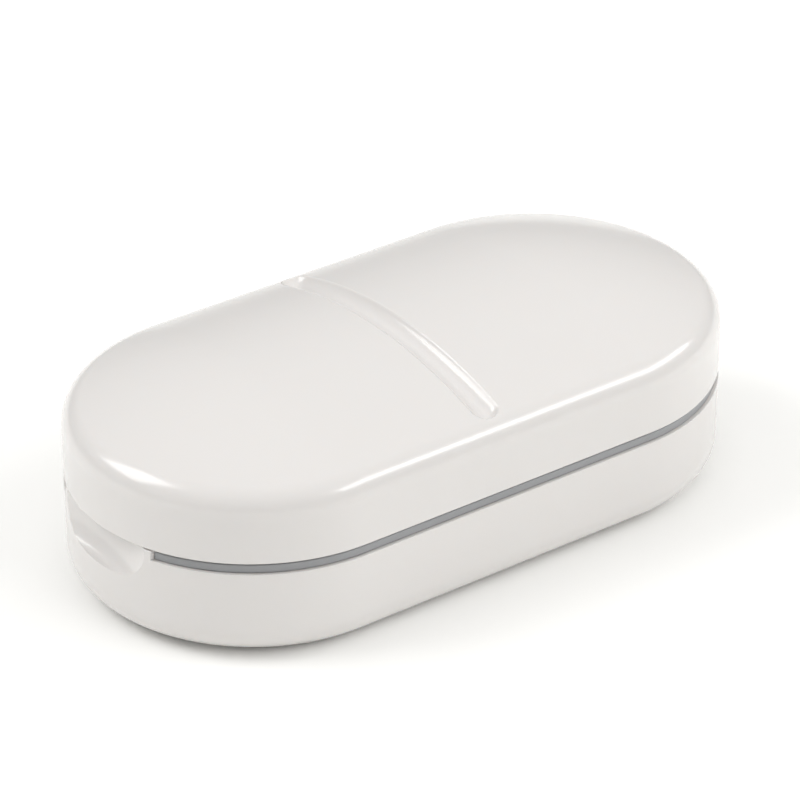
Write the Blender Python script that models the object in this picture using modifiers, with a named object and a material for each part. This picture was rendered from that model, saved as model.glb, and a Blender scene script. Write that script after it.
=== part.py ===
"""Pill splitter shaped like a scored caplet: a hinged white case with a blade in its lid.

Every size below is in millimetres, and finish_mesh() writes the meshes in metres.
The origin is the middle of the underside. +X runs to the hinge, -X to the thumb notch, +Z is up.
The case is a stadium in plan: half rounds about x = +END and x = -END, joined by straight sides.
"""

import math

import bmesh
import bpy
from mathutils import Matrix, Vector

MM = 0.001
MERGE = 1e-4
BIG_SHELLS = ("base_shell", "inner_tray", "lid_shell")

# ---- driving dimensions of the case ----
LENGTH = 86.0
WIDTH = 44.8
RADIUS = WIDTH / 2
END = LENGTH / 2 - RADIUS
ARC_STEPS = 24
FILLET_STEPS = 5
CROWN_STEPS = 6
PEG_SIDES = 24

PAD_PROUD = 0.4
BASE_BOTTOM = PAD_PROUD
BASE_RIM = 11.95
FRONT_RIM = 13.1
LID_EDGE = 13.25
LID_SHOULDER = 19.25
BASE_FILLET = 4.0
LID_FILLET = 3.35
CROWN_SLOPE = math.radians(19.0)
BASE_WALL = 1.8
LID_WALL = 2.0
BASE_FLOOR = 2.8
FIT = 0.2

# ---- hinge ----
HINGE_X = 42.6
HINGE_Z = 12.6
KNUCKLE_RADIUS = 1.7
KNUCKLE_CLEARANCE = 0.25
LID_KNUCKLE_HALF = 2.35
BASE_KNUCKLE = (2.55, 5.6)
PIN_RADIUS = 0.8
PIN_BORE = 0.95
PIN_HALF = 5.5

# ---- thumb notch at the front of the base ----
NOTCH_HALF = 8.2
NOTCH_DEPTH = 2.4
NOTCH_FLOOR = 8.1
FRONT_RIM_HALF = 8.9
CAVITY_FRONT = -38.0

# ---- tray ----
TRAY_BOTTOM = BASE_FLOOR + FIT
TRAY_FLOOR = 4.4
TRAY_TOP = 13.05
FLANGE_BOTTOM = 12.0
FLANGE_INSET = 0.35
TRAY_OUTER = RADIUS - BASE_WALL - FIT
WELL_RADIUS = TRAY_OUTER - 1.4
WELL_FRONT = -36.2
DIVIDER = (-4.6, -3.0)
BAY_REAR = 37.0

# ---- fasteners, one pattern under the tray and one under the lid liner ----
TRAY_SCREW_X, TRAY_SCREW_Y = 29.0, 13.0
LINER_SCREW_X, LINER_SCREW_Y = (-29.0, 31.0), 12.0
SCREW_RADIUS = 0.9
SCREW_HOLE = 1.0
HEAD_RADIUS = 1.7
HEAD_HOLE = 1.85
BOSS_RADIUS = 2.2

# ---- lid liner, blade, carrier and guard ----
LINER_Z = (13.4, 14.8)
LINER_RADIUS = RADIUS - LID_WALL - FIT
BLADE_X = (4.8, 21.8)
BLADE_EDGE_Z = 6.5
BLADE_TOP_Z = 16.2
BLADE_THICKNESS = 0.4
CARRIER_X = (0.3, 26.2)
CARRIER_Z = (11.6, 18.4)
CARRIER_HALF = 2.0
GUARD_X = (-1.2, 27.7)
GUARD_HALF = 3.5
GUARD_WALL = 1.15
GUARD_BOTTOM = 11.6
GUARD_TRAVEL = 5.4
EAR_Z = (LINER_Z[1] + 0.1 + GUARD_TRAVEL, LINER_Z[1] + 0.1 + GUARD_TRAVEL + 0.9)
POST_X = (-3.9, 29.6)
POST_RADIUS = 1.2
POST_TOP = 22.7
SPRING_TURNS = 3
SPRING_RADIUS = 1.7
SPRING_WIRE = 0.17
SPRING_Z = (EAR_Z[1] + 0.3, 22.45)

# ---- pill cradle ----
CRADLE_X = (0.2, 25.5)
CRADLE_HALF = 13.5
CRADLE_Z = (4.5, 11.0)
SEAT_Z = 6.8
SEAT_APEX = 5.6
SEAT_APEX_HALF = 0.9
SEAT_ANGLE = math.radians(30.0)
GRIP_LENGTH = 12.0
GRIP_THICKNESS = 0.8
GRIP_Z = (7.3, 10.3)

# ---- score groove across the lid ----
GROOVE_X = -1.6
GROOVE_HALF_WIDTH = 1.8
GROOVE_BALL = 2.15
GROOVE_HALF_LENGTH = 20.4


# ---------------------------------------------------------------- scene and helpers
for old in list(bpy.data.objects):
    bpy.data.objects.remove(old, do_unlink=True)

parts = bpy.data.collections.new("pill_splitter")
helpers = bpy.data.collections.new("cutters")
bpy.context.scene.collection.children.link(parts)
bpy.context.scene.collection.children.link(helpers)


def material(name, colour, roughness, metallic=0.0):
    """A Principled material with a plain colour."""
    made = bpy.data.materials.new(name)
    made.use_nodes = True
    shader = made.node_tree.nodes["Principled BSDF"]
    shader.inputs["Base Color"].default_value = (*colour, 1.0)
    shader.inputs["Roughness"].default_value = roughness
    shader.inputs["Metallic"].default_value = metallic
    return made


WHITE = material("white_plastic", (0.82, 0.80, 0.78), 0.28)
GREY = material("grey_plastic", (0.36, 0.36, 0.38), 0.45)
CLEAR = material("frosted_plastic", (0.72, 0.76, 0.78), 0.35)
SILICONE = material("silicone", (0.45, 0.46, 0.48), 0.70)
STEEL = material("steel", (0.62, 0.63, 0.65), 0.25, 1.0)


def finish_mesh(shape, name, finish=None):
    """Turns a bmesh in millimetres into a named object; with no finish it is a hidden helper."""
    bmesh.ops.scale(shape, vec=(MM, MM, MM), verts=shape.verts)
    mesh = bpy.data.meshes.new(name)
    shape.to_mesh(mesh)
    shape.free()
    return place(bpy.data.objects.new(name, mesh), finish)


def place(obj, finish):
    """Files an object as a part with a material, or as a cutter that no render shows."""
    if finish is None:
        helpers.objects.link(obj)
        obj.hide_render = True
        obj.display_type = "WIRE"
        return obj
    parts.objects.link(obj)
    obj.data.materials.append(finish)
    obj.data.shade_smooth()
    obj.data.set_sharp_from_angle(angle=math.radians(35))
    return obj


def box(name, x, y, z, finish=None, turn=0.0, about=(0.0, 0.0)):
    """A box between pairs of limits, turned about a vertical line if asked."""
    shape = bmesh.new()
    size = [high - low for low, high in (x, y, z)]
    middle = [(low + high) / 2 for low, high in (x, y, z)]
    bmesh.ops.create_cube(shape, size=1.0, matrix=Matrix.Translation(middle) @ Matrix.Diagonal((*size, 1.0)))
    bmesh.ops.rotate(shape, cent=(*about, 0.0), matrix=Matrix.Rotation(turn, 3, "Z"), verts=shape.verts)
    return finish_mesh(shape, name, finish)


def cylinder(name, radius, start, end, finish=None, sides=PEG_SIDES, end_radius=None):
    """A cylinder or cone from one point to another."""
    start, end = Vector(start), Vector(end)
    shape = bmesh.new()
    bmesh.ops.create_cone(
        shape,
        cap_ends=True,
        segments=sides,
        radius1=radius,
        radius2=radius if end_radius is None else end_radius,
        depth=(end - start).length,
    )
    aim = (end - start).to_track_quat("Z", "Y").to_matrix().to_4x4()
    bmesh.ops.transform(shape, matrix=Matrix.Translation((start + end) / 2) @ aim, verts=shape.verts)
    return finish_mesh(shape, name, finish)


def stadium(radius, x_low=-LENGTH, x_high=LENGTH):
    """Outline of a stadium about both end centres, cut off square at x_low and x_high."""
    points = []
    for side in (1, -1):
        for step in range(ARC_STEPS + 1):
            turn = side * (-math.pi / 2 + math.pi * step / ARC_STEPS) if side > 0 else (
                math.pi / 2 + math.pi * step / ARC_STEPS
            )
            x = side * END + radius * math.cos(turn)
            y = radius * math.sin(turn)
            x = min(max(x, x_low), x_high)
            if not points or math.dist(points[-1], (x, y)) > MERGE:
                points.append((x, y))
    return points


def plate(name, outline, z_low, z_high, finish=None):
    """A flat outline with thickness, made from a filled 2D curve and welded."""
    curve = bpy.data.curves.new(name, "CURVE")
    curve.dimensions = "2D"
    curve.fill_mode = "BOTH"
    curve.extrude = (z_high - z_low) / 2 * MM
    spline = curve.splines.new("POLY")
    spline.points.add(len(outline) - 1)
    for point, (x, y) in zip(spline.points, outline):
        point.co = (x * MM, y * MM, 0.0, 1.0)
    spline.use_cyclic_u = True
    guide = bpy.data.objects.new(name + "_curve", curve)
    guide.location.z = (z_low + z_high) / 2 * MM
    return welded_mesh(guide, name, finish)


def welded_mesh(guide, name, finish):
    """The closed mesh of a curve object, which is then removed."""
    bpy.context.scene.collection.objects.link(guide)
    bpy.context.view_layer.update()
    graph = bpy.context.evaluated_depsgraph_get()
    mesh = bpy.data.meshes.new_from_object(guide.evaluated_get(graph))
    mesh.name = name
    shape = bmesh.new()
    shape.from_mesh(mesh)
    bmesh.ops.remove_doubles(shape, verts=shape.verts, dist=MERGE * MM)
    bmesh.ops.transform(shape, matrix=guide.matrix_world, verts=shape.verts)
    bmesh.ops.recalc_face_normals(shape, faces=shape.faces)
    shape.to_mesh(mesh)
    shape.free()
    bpy.data.objects.remove(guide)
    return place(bpy.data.objects.new(name, mesh), finish)


def spun_stadium(name, profile, finish=None):
    """A profile of (distance from the end centre, height) spun half a turn, drawn to mid length and mirrored."""
    shape = bmesh.new()
    verts = [shape.verts.new((END, -reach, z)) for reach, z in profile]
    edges = [shape.edges.new(pair) for pair in zip(verts, verts[1:])]
    bmesh.ops.spin(
        shape, geom=verts + edges, cent=(END, 0, 0), axis=(0, 0, 1), angle=math.pi, steps=ARC_STEPS
    )
    bmesh.ops.remove_doubles(shape, verts=shape.verts, dist=MERGE)
    rim = [edge for edge in shape.edges if edge.is_boundary]
    drawn = bmesh.ops.extrude_edge_only(shape, edges=rim)["geom"]
    for vert in drawn:
        if isinstance(vert, bmesh.types.BMVert):
            vert.co.x = 0.0
    bmesh.ops.recalc_face_normals(shape, faces=shape.faces)
    obj = finish_mesh(shape, name, finish)
    mirror = obj.modifiers.new("other_half", "MIRROR")
    mirror.merge_threshold = MERGE * MM
    return obj


def boolean(obj, other, operation):
    """Exact solver, except on the three big shells, where it leaves seams open."""
    modifier = obj.modifiers.new(f"{operation.lower()}_{other.name}", "BOOLEAN")
    modifier.operation = operation
    modifier.solver = "MANIFOLD" if obj.name in BIG_SHELLS else "EXACT"
    modifier.object = other


def cut(obj, *others):
    for other in others:
        boolean(obj, other, "DIFFERENCE")


def join(obj, *others):
    for other in others:
        boolean(obj, other, "UNION")


def arc(centre, radius, start, end, steps):
    """Points along an arc in the profile plane, in degrees from the outward direction."""
    found = []
    for step in range(steps + 1):
        turn = math.radians(start + (end - start) * step / steps)
        found.append((centre[0] + radius * math.cos(turn), centre[1] + radius * math.sin(turn)))
    return found


# ---------------------------------------------------------------- shared shapes
CROWN_DEGREES = math.degrees(CROWN_SLOPE)
CROWN_REACH = RADIUS - LID_FILLET + LID_FILLET * math.sin(CROWN_SLOPE)
CROWN_RADIUS = CROWN_REACH / math.sin(CROWN_SLOPE)
CROWN_CENTRE_Z = LID_SHOULDER + LID_FILLET * math.cos(CROWN_SLOPE) - CROWN_RADIUS * math.cos(CROWN_SLOPE)


def lid_profile(inset, bottom):
    """Crown, shoulder fillet and side of the lid, moved inwards by inset, from the axis down and back."""
    crown = arc((0.0, CROWN_CENTRE_Z), CROWN_RADIUS - inset, 90.0, 90.0 - CROWN_DEGREES, CROWN_STEPS)
    crown[0] = (0.0, crown[0][1])
    shoulder = arc(
        (RADIUS - LID_FILLET, LID_SHOULDER), LID_FILLET - inset, 90.0 - CROWN_DEGREES, 0.0, FILLET_STEPS
    )
    return crown + shoulder[1:] + [(RADIUS - inset, bottom), (0.0, bottom)]


def base_profile():
    """Side, bottom fillet and underside of the base."""
    corner = arc(
        (RADIUS - BASE_FILLET, BASE_BOTTOM + BASE_FILLET), BASE_FILLET, 0.0, -90.0, FILLET_STEPS
    )
    return [(0.0, FRONT_RIM), (RADIUS, FRONT_RIM)] + corner + [(0.0, BASE_BOTTOM)]


def hinge_cylinder(name, radius, y_low, y_high):
    return cylinder(name, radius, (HINGE_X, y_low, HINGE_Z), (HINGE_X, y_high, HINGE_Z))


def screw_spots(xs, half_width):
    return [(x, side * half_width) for x in xs for side in (-1, 1)]


TRAY_SPOTS = screw_spots((-TRAY_SCREW_X, TRAY_SCREW_X), TRAY_SCREW_Y)
LINER_SPOTS = screw_spots(LINER_SCREW_X, LINER_SCREW_Y)
SPOT_NAMES = ("front_right", "front_left", "rear_right", "rear_left")


def screw(name, spot, z_head, z_shoulder, z_tip, head=HEAD_RADIUS):
    """A flat-headed self-tapping screw, driven upwards, with a cross recess in its head."""
    x, y = spot
    body = cylinder(name, head, (x, y, z_head), (x, y, z_shoulder), STEEL, sides=16)
    thread = cylinder(
        name + "_shank", SCREW_RADIUS, (x, y, z_shoulder - 0.2), (x, y, z_tip), sides=12, end_radius=0.55
    )
    join(body, thread)
    for turn in (0.0, math.pi / 2):
        slot = box(
            f"{name}_recess_{round(turn)}", (x - head / 2, x + head / 2), (y - 0.2, y + 0.2), (z_head - 0.3, z_head + 0.3),
            turn=turn, about=(x, y),
        )
        cut(body, slot)
    return body


# ---------------------------------------------------------------- base shell
def make_base_shell():
    """White lower casing with the thumb notch, the raised front rim and the outer hinge knuckles."""
    shell = spun_stadium("base_shell", base_profile(), WHITE)
    over = 6.0
    cut(shell, plate("base_cavity", stadium(RADIUS - BASE_WALL, CAVITY_FRONT), BASE_FLOOR, FRONT_RIM + over))
    rim_front = -END - FRONT_RIM_HALF
    reach = RADIUS + over
    low_rim = [
        (-END - reach, -reach), (END + reach, -reach), (END + reach, reach), (-END - reach, reach),
        (-END - reach, FRONT_RIM_HALF), (rim_front, FRONT_RIM_HALF),
        (rim_front, -FRONT_RIM_HALF), (-END - reach, -FRONT_RIM_HALF),
    ]
    cut(shell, plate("low_rim", low_rim, BASE_RIM, FRONT_RIM + over))
    notch_edge = END + math.sqrt(RADIUS**2 - NOTCH_HALF**2)
    rise = notch_edge - (LENGTH / 2 - NOTCH_DEPTH)
    notch_radius = (NOTCH_HALF**2 + rise**2) / (2 * rise)
    notch_x = -(LENGTH / 2 - NOTCH_DEPTH) - notch_radius
    cut(shell, cylinder("thumb_notch", notch_radius, (notch_x, 0, NOTCH_FLOOR), (notch_x, 0, FRONT_RIM + over), sides=90))
    cut(shell, plate("pad_recess", stadium(RADIUS - 4.75), -1.0, 1.05))
    for number, (x, y) in enumerate(TRAY_SPOTS):
        cut(shell, cylinder(f"head_hole_{number}", HEAD_HOLE, (x, y, 0.5), (x, y, 2.0)))
        cut(shell, cylinder(f"base_hole_{number}", SCREW_HOLE, (x, y, 0.5), (x, y, 4.0)))
    cut(shell, hinge_cylinder("lid_knuckle_room", KNUCKLE_RADIUS + KNUCKLE_CLEARANCE, -BASE_KNUCKLE[0] + 0.1, BASE_KNUCKLE[0] - 0.1))
    near, far = BASE_KNUCKLE
    join(shell, hinge_cylinder("base_knuckle_right", KNUCKLE_RADIUS, -far, -near))
    join(shell, hinge_cylinder("base_knuckle_left", KNUCKLE_RADIUS, near, far))
    cut(shell, hinge_cylinder("base_pin_bore", PIN_BORE, -far - 1, far + 1))


# ---------------------------------------------------------------- tray and what sits in it
def make_inner_tray():
    """Grey liner of the base: its flange shows between the casings, and its wells hold whole and cut pills."""
    tray = plate("inner_tray", stadium(TRAY_OUTER, CAVITY_FRONT + FIT), TRAY_BOTTOM, TRAY_TOP, GREY)
    flange = plate("flange", stadium(RADIUS - FLANGE_INSET), FLANGE_BOTTOM, TRAY_TOP)
    gap = FRONT_RIM_HALF + FIT
    cut(flange, box("flange_gap", (-LENGTH, CAVITY_FRONT + FIT), (-gap, gap), (0, 20)))
    join(tray, flange)
    over = 5.0
    cut(tray, plate("storage_well", stadium(WELL_RADIUS, WELL_FRONT, DIVIDER[0]), TRAY_FLOOR, TRAY_TOP + over))
    cut(tray, plate("cutting_bay", stadium(WELL_RADIUS, DIVIDER[1], BAY_REAR), TRAY_FLOOR, TRAY_TOP + over))
    boss_top, hole_top = 8.0, 7.6
    for number, (x, y) in enumerate(TRAY_SPOTS):
        join(tray, cylinder(f"tray_boss_{number}", BOSS_RADIUS, (x, y, TRAY_BOTTOM + 0.3), (x, y, boss_top)))
    for number, (x, y) in enumerate(TRAY_SPOTS):
        cut(tray, cylinder(f"tray_hole_{number}", SCREW_HOLE, (x, y, 1.0), (x, y, hole_top)))
    join(tray, box("catch_ledge", (WELL_FRONT - 0.5, WELL_FRONT + 0.45), (-5.5, 5.5), (11.3, 11.85)))
    for number, (x, y) in enumerate(CRADLE_PEGS):
        cut(tray, cylinder(f"peg_hole_{number}", 1.4, (x, y, 1.0), (x, y, 6.0)))
    cut(tray, hinge_cylinder("tray_hinge_room", KNUCKLE_RADIUS + KNUCKLE_CLEARANCE, -BASE_KNUCKLE[1] - 0.25, BASE_KNUCKLE[1] + 0.25))


CRADLE_PEGS = ((3.5, -9.0), (3.5, 9.0))


def seat_half_width(x):
    """Half the width of the V seat at a place along the case."""
    return SEAT_APEX_HALF + (x - SEAT_APEX) * math.tan(SEAT_ANGLE)


def grip_box(name, side, grow, finish=None):
    """A strip along one wall of the V seat, with half of its thickness let into the wall."""
    along = 0.52
    x = SEAT_APEX + (CRADLE_X[1] - SEAT_APEX) * along
    y = side * seat_half_width(x)
    half = GRIP_LENGTH / 2 + grow
    thick = GRIP_THICKNESS / 2 + grow
    return box(
        name, (x - half, x + half), (y - thick, y + thick), (GRIP_Z[0] - grow, GRIP_Z[1] + grow), finish,
        turn=side * SEAT_ANGLE, about=(x, y),
    )


def make_pill_cradle():
    """Frosted block with a V seat that narrows away from the hinge, and a slot for the blade."""
    cradle = box("pill_cradle", CRADLE_X, (-CRADLE_HALF, CRADLE_HALF), CRADLE_Z, CLEAR)
    behind = CRADLE_X[1] + 2.0
    seat = [
        (SEAT_APEX, -SEAT_APEX_HALF), (behind, -seat_half_width(behind)),
        (behind, seat_half_width(behind)), (SEAT_APEX, SEAT_APEX_HALF),
    ]
    cut(cradle, plate("v_seat", seat, SEAT_Z, CRADLE_Z[1] + 2))
    cut(cradle, box("blade_slot", (1.8, 24.6), (-0.55, 0.55), (5.6, CRADLE_Z[1] + 2)))
    for number, (x, y) in enumerate(CRADLE_PEGS):
        join(cradle, cylinder(f"cradle_peg_{number}", 1.2, (x, y, TRAY_BOTTOM + 0.2), (x, y, CRADLE_Z[0] + 0.5)))
    for side, name in ((-1, "right"), (1, "left")):
        cut(cradle, grip_box(f"grip_pocket_{name}", side, 0.1))
        grip_box(f"grip_strip_{name}", side, 0.0, SILICONE)


# ---------------------------------------------------------------- lid
def groove_cutter():
    """A round-ended bar bent to follow the crown, so that it cuts the score groove."""
    shape = bmesh.new()
    bmesh.ops.create_uvsphere(
        shape, u_segments=20, v_segments=11, radius=GROOVE_BALL, matrix=Matrix.Rotation(math.pi / 2, 4, "X")
    )
    half = GROOVE_HALF_LENGTH - GROOVE_HALF_WIDTH
    for vert in shape.verts:
        vert.co.y += math.copysign(half, vert.co.y)
    for step in range(-7, 8):
        bmesh.ops.bisect_plane(
            shape, geom=shape.verts[:] + shape.edges[:] + shape.faces[:],
            plane_co=(0, half * step / 7.5, 0), plane_no=(0, 1, 0),
        )
    path_radius = CROWN_RADIUS + math.sqrt(GROOVE_BALL**2 - GROOVE_HALF_WIDTH**2)
    for vert in shape.verts:
        turn = vert.co.y / path_radius
        reach = path_radius + vert.co.z
        vert.co = (GROOVE_X + vert.co.x, reach * math.sin(turn), CROWN_CENTRE_Z + reach * math.cos(turn))
    return finish_mesh(shape, "groove_cutter")


def make_lid_shell():
    """White crowned upper casing with the score groove, inner bosses and the middle hinge knuckle."""
    lid = spun_stadium("lid_shell", lid_profile(0.0, LID_EDGE), WHITE)
    cut(lid, spun_stadium("lid_cavity", lid_profile(LID_WALL, LID_EDGE - 4.0)))
    cut(lid, groove_cutter())
    into_crown = 22.6
    mount = box("carrier_mount", (CARRIER_X[0] + 0.5, CARRIER_X[1] - 0.5), (-1.7, 1.7), (CARRIER_Z[1] + FIT, into_crown + 1.4))
    join(lid, mount)
    for number, (x, y) in enumerate(LINER_SPOTS):
        join(lid, cylinder(f"lid_boss_{number}", BOSS_RADIUS, (x, y, LINER_Z[1] + FIT), (x, y, into_crown)))
    for number, (x, y) in enumerate(LINER_SPOTS):
        cut(lid, cylinder(f"lid_hole_{number}", SCREW_HOLE, (x, y, LINER_Z[0]), (x, y, 20.2)))
    for number, x in enumerate(carrier_screw_places()):
        cut(lid, cylinder(f"mount_hole_{number}", SCREW_HOLE, (x, 0, CARRIER_Z[1]), (x, 0, 22.4)))
    near, far = BASE_KNUCKLE
    room = KNUCKLE_RADIUS + KNUCKLE_CLEARANCE
    cut(lid, hinge_cylinder("base_knuckle_room_right", room, -far - 0.2, -LID_KNUCKLE_HALF))
    cut(lid, hinge_cylinder("base_knuckle_room_left", room, LID_KNUCKLE_HALF, far + 0.2))
    join(lid, hinge_cylinder("lid_knuckle", KNUCKLE_RADIUS, -LID_KNUCKLE_HALF, LID_KNUCKLE_HALF))
    cut(lid, hinge_cylinder("lid_pin_bore", PIN_BORE, -near - 1, near + 1))


def carrier_screw_places():
    """Where the two blade carrier screws stand, between each end of the carrier and the blade."""
    return ((CARRIER_X[0] + BLADE_X[0]) / 2, (CARRIER_X[1] + BLADE_X[1]) / 2)


def make_lid_liner():
    """Grey plate that closes the lid, with the guard's guide posts and the catch tongue."""
    liner = plate("lid_liner", stadium(LINER_RADIUS), *LINER_Z, GREY)
    slack = 0.25
    window = ((GUARD_X[0] - slack, GUARD_X[1] + slack), (-GUARD_HALF - slack, GUARD_HALF + slack))
    cut(liner, box("guard_window", *window, (LINER_Z[0] - 1, LINER_Z[1] + 1)))
    for number, x in enumerate(POST_X):
        join(liner, cylinder(f"guide_post_{number}", POST_RADIUS, (x, 0, LINER_Z[0] + 0.4), (x, 0, POST_TOP)))
    tongue_x = (WELL_FRONT + 0.95, WELL_FRONT + 2.1)
    join(liner, box("catch_tongue", tongue_x, (-5.0, 5.0), (10.3, LINER_Z[0] + 0.4)))
    bead_z = 10.8
    bead = cylinder("catch_bead", 0.4, (tongue_x[0], -4.8, bead_z), (tongue_x[0], 4.8, bead_z), sides=12)
    join(liner, bead)
    for number, (x, y) in enumerate(LINER_SPOTS):
        cut(liner, cylinder(f"liner_head_hole_{number}", HEAD_HOLE, (x, y, LINER_Z[0] - 1), (x, y, LINER_Z[0] + 0.8)))
        cut(liner, cylinder(f"liner_hole_{number}", SCREW_HOLE, (x, y, LINER_Z[0] - 1), (x, y, LINER_Z[1] + 1)))


def make_blade():
    """Stainless blade with a ground edge along its foot."""
    half = BLADE_THICKNESS / 2
    ground = 1.6
    shape = bmesh.new()
    bmesh.ops.create_cube(
        shape,
        size=1.0,
        matrix=Matrix.Translation((sum(BLADE_X) / 2, 0, (BLADE_EDGE_Z + BLADE_TOP_Z) / 2))
        @ Matrix.Diagonal((BLADE_X[1] - BLADE_X[0], 2 * half, BLADE_TOP_Z - BLADE_EDGE_Z, 1.0)),
    )
    bmesh.ops.bisect_plane(
        shape, geom=shape.verts[:] + shape.edges[:] + shape.faces[:],
        plane_co=(0, 0, BLADE_EDGE_Z + ground), plane_no=(0, 0, 1),
    )
    for vert in shape.verts:
        if vert.co.z < BLADE_EDGE_Z + ground / 2:
            vert.co.y *= 0.1
    return finish_mesh(shape, "blade", STEEL)


def make_blade_carrier():
    """White block that holds the blade in a slot and is screwed up into the lid."""
    carrier = box("blade_carrier", CARRIER_X, (-CARRIER_HALF, CARRIER_HALF), CARRIER_Z, WHITE)
    slack = 0.15
    slot_half = BLADE_THICKNESS / 2 + slack
    cut(carrier, box("carrier_slot", (BLADE_X[0] - slack, BLADE_X[1] + slack), (-slot_half, slot_half), (10.0, BLADE_TOP_Z + slack)))
    for number, x in enumerate(carrier_screw_places()):
        low = CARRIER_Z[0]
        cut(carrier, cylinder(f"carrier_head_hole_{number}", 1.45, (x, 0, low - 1), (x, 0, low + 1.0), sides=20))
        cut(carrier, cylinder(f"carrier_hole_{number}", SCREW_HOLE, (x, 0, low - 1), (x, 0, CARRIER_Z[1] + 1)))


def make_blade_guard():
    """White shroud round the carrier that drops over the blade when the lid is up."""
    guard = box("blade_guard", GUARD_X, (-GUARD_HALF, GUARD_HALF), (GUARD_BOTTOM, EAR_Z[1]), WHITE)
    ears = box("guard_ears", (POST_X[0] - 2.4, POST_X[1] + 2.4), (-2.4, 2.4), EAR_Z)
    join(guard, ears)
    inner_half = GUARD_HALF - GUARD_WALL
    room = box(
        "guard_room", (GUARD_X[0] + GUARD_WALL, GUARD_X[1] - GUARD_WALL), (-inner_half, inner_half),
        (GUARD_BOTTOM - 1, EAR_Z[1] + 1),
    )
    cut(guard, room)
    for number, x in enumerate(POST_X):
        cut(guard, cylinder(f"ear_hole_{number}", POST_RADIUS + FIT, (x, 0, EAR_Z[0] - 1), (x, 0, EAR_Z[1] + 1)))


def make_guard_spring(name, x):
    """A short compression spring round a guide post, pushing the guard down."""
    curve = bpy.data.curves.new(name, "CURVE")
    curve.dimensions = "3D"
    curve.bevel_depth = SPRING_WIRE * MM
    curve.bevel_resolution = 1
    curve.use_fill_caps = True
    per_turn = 16
    count = SPRING_TURNS * per_turn
    spline = curve.splines.new("POLY")
    spline.points.add(count)
    for step, point in enumerate(spline.points):
        turn = 2 * math.pi * step / per_turn
        z = SPRING_Z[0] + (SPRING_Z[1] - SPRING_Z[0]) * step / count
        point.co = ((x + SPRING_RADIUS * math.cos(turn)) * MM, SPRING_RADIUS * math.sin(turn) * MM, z * MM, 1.0)
    welded_mesh(bpy.data.objects.new(name + "_curve", curve), name, STEEL)


# ---------------------------------------------------------------- the assembly
make_base_shell()
make_inner_tray()
make_pill_cradle()
plate("anti_slip_pad", stadium(RADIUS - 4.9), 0.0, 0.95, SILICONE)
for spot, where in zip(TRAY_SPOTS, SPOT_NAMES):
    screw(f"tray_screw_{where}", spot, 1.15, 1.85, 7.4)
cylinder("hinge_pin", PIN_RADIUS, (HINGE_X, -PIN_HALF, HINGE_Z), (HINGE_X, PIN_HALF, HINGE_Z), STEEL)

make_lid_shell()
make_lid_liner()
for spot, where in zip(LINER_SPOTS, SPOT_NAMES):
    screw(f"liner_screw_{where}", spot, LINER_Z[0] + 0.05, LINER_Z[0] + 0.7, 19.8)
make_blade()
make_blade_carrier()
for x, where in zip(carrier_screw_places(), ("front", "rear")):
    screw(f"carrier_screw_{where}", (x, 0.0), CARRIER_Z[0] + 0.1, CARRIER_Z[0] + 0.9, 22.2, head=1.3)
make_blade_guard()
for x, where in zip(POST_X, ("front", "rear")):
    make_guard_spring(f"guard_spring_{where}", x)
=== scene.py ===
"""Looks for the caplet-shaped pill splitter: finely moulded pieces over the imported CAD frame.

Sizes are in millimetres in the modelling functions and become metres when a mesh is made.
The frame: origin under the middle of the case, +X to the hinge, -X to the thumb notch, +Z up.
"""

import math

import bmesh
import bpy
from mathutils import Matrix, Vector


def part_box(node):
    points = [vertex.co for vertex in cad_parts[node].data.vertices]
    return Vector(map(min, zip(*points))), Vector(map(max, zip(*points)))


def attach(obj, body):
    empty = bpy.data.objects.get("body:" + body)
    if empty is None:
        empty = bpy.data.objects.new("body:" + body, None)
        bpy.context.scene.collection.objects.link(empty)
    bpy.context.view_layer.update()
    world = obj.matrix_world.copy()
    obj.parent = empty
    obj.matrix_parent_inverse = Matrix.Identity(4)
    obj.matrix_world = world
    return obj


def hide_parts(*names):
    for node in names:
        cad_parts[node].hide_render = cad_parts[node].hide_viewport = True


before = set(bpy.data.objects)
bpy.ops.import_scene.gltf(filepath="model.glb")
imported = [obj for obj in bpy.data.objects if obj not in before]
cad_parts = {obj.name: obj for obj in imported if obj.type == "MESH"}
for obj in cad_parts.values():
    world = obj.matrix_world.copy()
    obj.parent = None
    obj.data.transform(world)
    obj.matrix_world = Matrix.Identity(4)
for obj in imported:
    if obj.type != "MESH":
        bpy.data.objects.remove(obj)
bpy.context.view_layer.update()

MM = 0.001
MERGE = 1e-4


# ---------------------------------------------------------------- sizes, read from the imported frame
def limits(node):
    """Lowest and highest corner of a CAD node, in millimetres."""
    low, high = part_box(node)
    return low / MM, high / MM


base_low, base_high = limits("base_shell")
tray_low, tray_high = limits("inner_tray")
liner_low, liner_high = limits("lid_liner")
pad_low, pad_high = limits("anti_slip_pad")
pin_low, pin_high = limits("hinge_pin")
cradle_low, cradle_high = limits("pill_cradle")
blade_low, blade_high = limits("blade")
carrier_low, carrier_high = limits("blade_carrier")
guard_low, guard_high = limits("blade_guard")

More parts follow.
